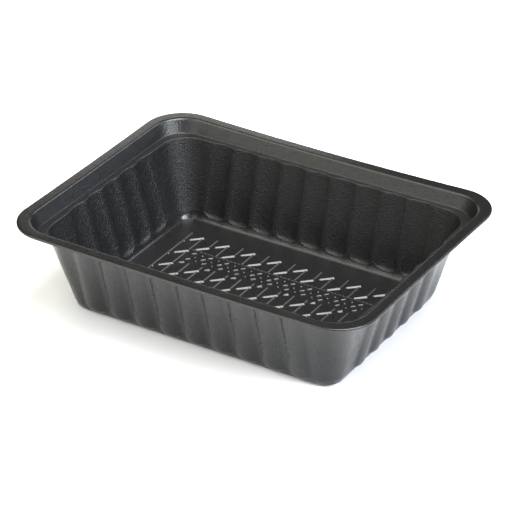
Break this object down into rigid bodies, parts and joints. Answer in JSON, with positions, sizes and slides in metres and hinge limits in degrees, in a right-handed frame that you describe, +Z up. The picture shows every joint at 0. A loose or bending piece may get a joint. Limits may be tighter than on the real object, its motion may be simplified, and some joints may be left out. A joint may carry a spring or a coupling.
{
  "type": "plastic food container",
  "caption": "Empty black plastic food tray, rectangular with rounded corners, fluted sloping walls, a stepped flat rim and a raised diamond lattice on its floor.",
  "frame": {"origin": "middle of the underside of the floor", "axes": "+Z up, +X along the long side, +Y along the short side"},
  "size_m": [0.227, 0.1736, 0.056],
  "materials": {
    "plastic": "satin"
  },
  "bodies": {
    "root": {"tray": "plastic"}
  },
  "joints": []
}
